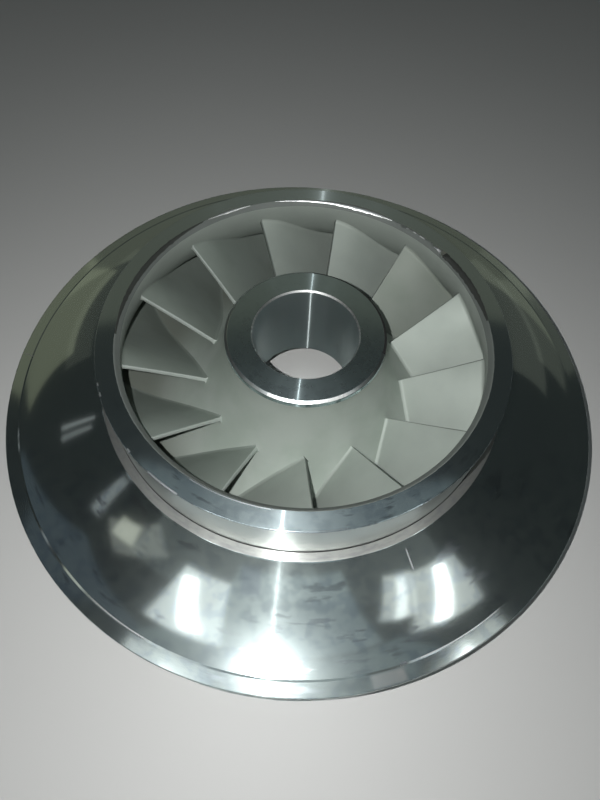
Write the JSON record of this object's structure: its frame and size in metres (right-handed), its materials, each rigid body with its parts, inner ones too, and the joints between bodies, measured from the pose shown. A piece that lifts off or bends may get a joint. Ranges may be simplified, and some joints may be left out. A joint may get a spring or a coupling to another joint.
{
  "type": "centrifugal impeller",
  "caption": "Closed centrifugal impeller: backward-curved blades between a dished hub disc and a turned shroud with an eye ring, on a flanged boss with a plain bore.",
  "frame": {"origin": "centre of the flat back plane that the wheel rests on, on its axis", "axes": "+Z along the wheel's axis, out of the eye; +X and +Y in the back plane, +Y away from the picture's camera"},
  "size_m": [0.3, 0.3, 0.0732],
  "materials": {
    "turned_shroud": "fine turned, bright",
    "turned_ring": "fine turned, bright",
    "turned_boss": "fine turned",
    "blasted_disc": "satin, hand dressed",
    "blasted_blade": "satin, hand dressed"
  },
  "bodies": {
    "root": {"hub_boss": "turned_boss", "hub_disc": "blasted_disc", "shroud": "turned_shroud", "eye_ring": "turned_ring", "blade_01": "blasted_blade", "blade_02": "blasted_blade", "blade_03": "blasted_blade", "blade_04": "blasted_blade", "blade_05": "blasted_blade", "blade_06": "blasted_blade", "blade_07": "blasted_blade", "blade_08": "blasted_blade", "blade_09": "blasted_blade", "blade_10": "blasted_blade", "blade_11": "blasted_blade", "blade_12": "blasted_blade", "blade_13": "blasted_blade"}
  },
  "joints": []
}
